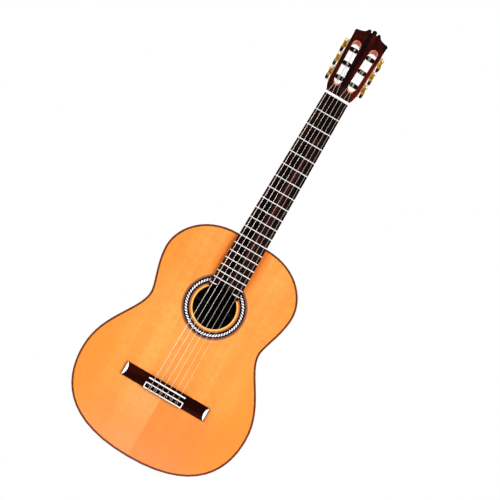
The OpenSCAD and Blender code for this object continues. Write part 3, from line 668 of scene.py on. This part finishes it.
def tie_path(x, radius):
    """The string's end: over the tie block, round its standing part, back over and out through its hole."""
    front, back = bridge_high.z, bridge_low.z
    over = bridge_low.y - radius - 0.1 * MM
    hole = -TIE_HOLE_HEIGHT
    lip = front - TIE_BLOCK_EDGE

    def at(side, y, z):
        return Vector((x + side * TIE_HALF_WIDTH, y, z))

    return [
        at(-1, hole - 0.6 * MM, back - 1.0 * MM),
        at(-1, over + 0.3 * MM, back + 0.3 * MM),
        at(-1, over, back + 2.0 * MM),
        at(-1, over, lip - 1.2 * MM),
        at(-0.8, over + 0.5 * MM, lip + 0.6 * MM),
        at(-0.4, hole - 0.6 * MM, lip + 1.7 * MM),
        at(0, hole + 0.5 * MM, lip + 1.9 * MM),
        at(0.4, hole - 0.6 * MM, lip + 1.7 * MM),
        at(0.8, over + 0.5 * MM, lip + 0.6 * MM),
        at(1, over, lip - 1.2 * MM),
        at(1, over, back + 2.0 * MM),
        at(0.8, over + 0.6 * MM, back - 0.4 * MM),
        at(0.3, hole - 0.6 * MM, back - 1.3 * MM),
        at(0, hole, back - 0.4 * MM),
        at(0, hole, back + 1.5 * MM),
        at(0, hole, lip - 1.0 * MM),
        at(0, hole - 0.3 * MM, lip + 0.4 * MM),
    ]


def near(start, end, distance=4 * MM):
    """A point on the way from start to end."""
    return start + (end - start).normalized() * distance


def string_path(number):
    """The played string, from its tie on the bridge over saddle and nut to the front of its roller."""
    radius = STRING_RADIUS[number]
    share = 0.5 - (number - 1) / 5
    foot_x, nut_x = share * SADDLE_SPREAD, share * NUT_SPREAD
    saddle_z = (saddle_low.z + saddle_high.z) / 2
    on_saddle = saddle_low.y - radius
    on_nut = board_low.y - NUT_LIFT - radius
    behind = Vector((foot_x, on_saddle, saddle_z - SADDLE_HALF_FLAT))
    ahead = Vector((foot_x, on_saddle, saddle_z + SADDLE_HALF_FLAT))
    nut_edge = Vector((nut_x, on_nut, nut_low.z))
    nut_back = Vector((nut_x, on_nut, nut_high.z))
    post, _ = joint_frame(number)
    drum = post @ Vector((-DRUM_FROM_GEAR, -DRUM_RADIUS - radius, 0))
    path = tie_path(foot_x, radius)
    path += [near(behind, path[-1], 2 * MM), behind, ahead, near(ahead, nut_edge)]
    path += [near(nut_edge, ahead), nut_edge, nut_back, near(nut_back, drum), near(drum, nut_back), drum]
    return path


def coil_path(number):
    """The turns of string on the roller, from where the string meets its front."""
    radius = STRING_RADIUS[number]
    reach = DRUM_RADIUS + radius
    steps = int(COIL_TURNS[number] * COIL_STEPS)
    points = []
    for k in range(steps + 1):
        turns = COIL_TURNS[number] * k / steps
        angle = 2 * math.pi * turns
        x = -DRUM_FROM_GEAR + COIL_WAY[number] * COIL_PITCH * radius * turns
        points.append(Vector((x, -reach * math.cos(angle), reach * math.sin(angle))))
    return points


for number in STRINGS:
    radius, slot = STRING_RADIUS[number], STRING_SLOT[number]
    post, _ = joint_frame(number)
    rings = rod_rings(rounded(string_path(number)), radius)
    played = new_piece(f"string_{number}_played", skin("string", rings), slot)
    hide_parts(f"string_{number}")
    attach(played, "root")
    rings = rod_rings(coil_path(number), radius * COIL_RADIUS, sides=10)
    coil = new_piece(f"string_{number}_coil", skin("coil", rings, post), slot)
    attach(coil, f"post_{number}")


# ---------- Buttons ----------

BUTTON_START = 20 * MM
BUTTON_LENGTH = 17 * MM
BUTTON_WIDEST = 0.6
BUTTON_HALF_WIDTH = 8.5 * MM
STEM_HALF_THICK = 4.3 * MM
END_HALF_THICK = 3.8 * MM
# Powers below 1, which square off the button's section and its rounded ends.
SECTION_POWER = 0.7
END_POWER = 0.35
STEM_ANGLE = math.radians(75)
END_ANGLE = math.radians(90)
BUTTON_STEPS = 26


def squared(value):
    """A sine or cosine, pushed away from zero."""
    return math.copysign(abs(value) ** SECTION_POWER, value)


def button_ring(angle, sides=48):
    """A section of the button: angle runs from the stem, at -75 degrees, to the end, at 90."""
    s, c = math.sin(angle), max(math.cos(angle), 0.001)
    t = BUTTON_WIDEST + s * (BUTTON_WIDEST / math.sin(STEM_ANGLE) if s < 0 else 1 - BUTTON_WIDEST)
    thick = (STEM_HALF_THICK * (1 - t) + END_HALF_THICK * t) * c**END_POWER
    wide = BUTTON_HALF_WIDTH * c
    ring = []
    for k in range(sides):
        b = 2 * math.pi * k / sides
        x, z = thick * squared(math.cos(b)), wide * squared(math.sin(b))
        ring.append(Vector((x, BUTTON_START + BUTTON_LENGTH * t, z)))
    return ring


for number in STRINGS:
    _, worm = joint_frame(number)
    span = STEM_ANGLE + END_ANGLE
    rings = [button_ring(span * k / BUTTON_STEPS - STEM_ANGLE) for k in range(BUTTON_STEPS + 1)]
    button = new_piece(f"tuner_{number}_polished_button", skin("button", rings, worm), "button_black")
    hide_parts(f"tuner_{number}_button")
    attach(button, f"knob_{number}")


# ---------- Camera and light ----------

LEAN = math.radians(30.3)
CAMERA_DISTANCE = 2.5
CAMERA_RISE = math.radians(-5.655)
LENS = 93.2
SENSOR_WIDTH = 36
AIM_BESIDE_MIDDLE = 3.4 * MM
AIM_BELOW_NUT = 342.7 * MM
AIM = Vector((AIM_BESIDE_MIDDLE, board_low.y, nut_low.z - AIM_BELOW_NUT))

toward_viewer = Vector((0, -math.cos(CAMERA_RISE), math.sin(CAMERA_RISE)))
across = Vector((1, 0, 0))
upright = toward_viewer.cross(across)
image_up = math.cos(LEAN) * upright - math.sin(LEAN) * across
image_right = math.cos(LEAN) * across + math.sin(LEAN) * upright


def aimed(location):
    """A matrix at location that looks at AIM, with the picture's up towards the top of its view."""
    back = (location - AIM).normalized()
    right = image_up.cross(back).normalized()
    turn = Matrix((right, back.cross(right), back)).transposed().to_4x4()
    return Matrix.Translation(location) @ turn


camera_data = bpy.data.cameras.new("camera")
camera_data.lens = LENS
camera_data.sensor_width = SENSOR_WIDTH
camera = add("camera", camera_data)
camera.matrix_world = aimed(AIM + toward_viewer * CAMERA_DISTANCE)
bpy.context.scene.camera = camera
bpy.context.scene.view_settings.view_transform = "Standard"


def softbox(name, right, up, forward, size, power):
    """A soft round light, placed by the axes of the picture."""
    data = bpy.data.lights.new(name, "AREA")
    data.shape = "DISK"
    data.size = size
    data.energy = power
    add(name, data).matrix_world = aimed(AIM + right * image_right + up * image_up + forward * toward_viewer)


softbox("key", right=1.3, up=-0.2, forward=1.35, size=1.0, power=30)
softbox("fill", right=-1.25, up=0.9, forward=1.35, size=1.2, power=20)
softbox("back_fill", right=0.3, up=0.8, forward=-1.9, size=1.6, power=22)

WHITE = (1, 1, 1, 1)
SURROUND = 0.9
BEHIND_CAMERA = 0.02
# Cosines of the angle from the camera's direction: where the surround starts to darken, and its darkest.
DARK_FROM = 0.35
DARKEST = 0.75


def studio_world():
    """Pure white to the camera. To the guitar it's a pale surround that is dark behind the camera, so that
    lacquered fronts keep their depth of colour."""
    world = bpy.data.worlds.new("studio")
    bpy.context.scene.world = world
    world.use_nodes = True
    g = Graph(world.node_tree)
    direction = g.node("TexCoord").outputs["Generated"]
    facing = g.node("VectorMath", {0: direction, 1: toward_viewer}, operation="DOT_PRODUCT").outputs["Value"]
    strength = g.node("MapRange", {"Value": facing, "From Min": DARK_FROM, "From Max": DARKEST,
                                   "To Min": SURROUND, "To Max": BEHIND_CAMERA}).outputs[0]
    ambient = g.node("Background", {0: WHITE, 1: strength}).outputs[0]
    seen = g.node("Background", {0: WHITE, 1: 1.0}).outputs[0]
    camera_ray = g.node("LightPath").outputs["Is Camera Ray"]
    choose = g.node("MixShader", {0: camera_ray, 1: ambient, 2: seen}).outputs[0]
    g.feed(g.tree.nodes["World Output"].inputs[0], choose)


studio_world()


# ---------- Floor ----------

FLOOR_RADIUS = 1.0
FLOOR_SIDES = 64
FADE_FROM = 0.25
FADE_TO = 0.95
FLOOR_GAP = 0.5 * MM


def floor_material():
    """A dark matt floor with a near-white glow, which keeps shadows faint. It fades out at its rim."""
    g = Finish("studio_floor")
    point = g.point()
    x, y, _ = g.split(point)
    speckle = g.noise(point, 300.0, 2.0)
    g.set(Base_Color=g.mix(speckle, (0.05, 0.05, 0.05), (0.07, 0.07, 0.07)), Roughness=0.9,
          Specular_IOR_Level=0.1, Emission_Color=WHITE, Emission_Strength=0.95,
          Alpha=g.between(g.radius(x, y), FADE_TO, FADE_FROM))
    return g.material


turns = [2 * math.pi * k / FLOOR_SIDES for k in range(FLOOR_SIDES)]
rim = [(FLOOR_RADIUS * math.cos(a), FLOOR_RADIUS * math.sin(a), 0.0) for a in turns]
floor_mesh = bpy.data.meshes.new("floor")
floor_mesh.from_pydata(rim, [], [tuple(range(FLOOR_SIDES))])
floor_mesh.materials.append(floor_material())
floor = add("floor", floor_mesh)
middle = (cad_box[0] + cad_box[1]) / 2
floor.location = (middle.x, middle.y, cad_box[0].z - FLOOR_GAP)
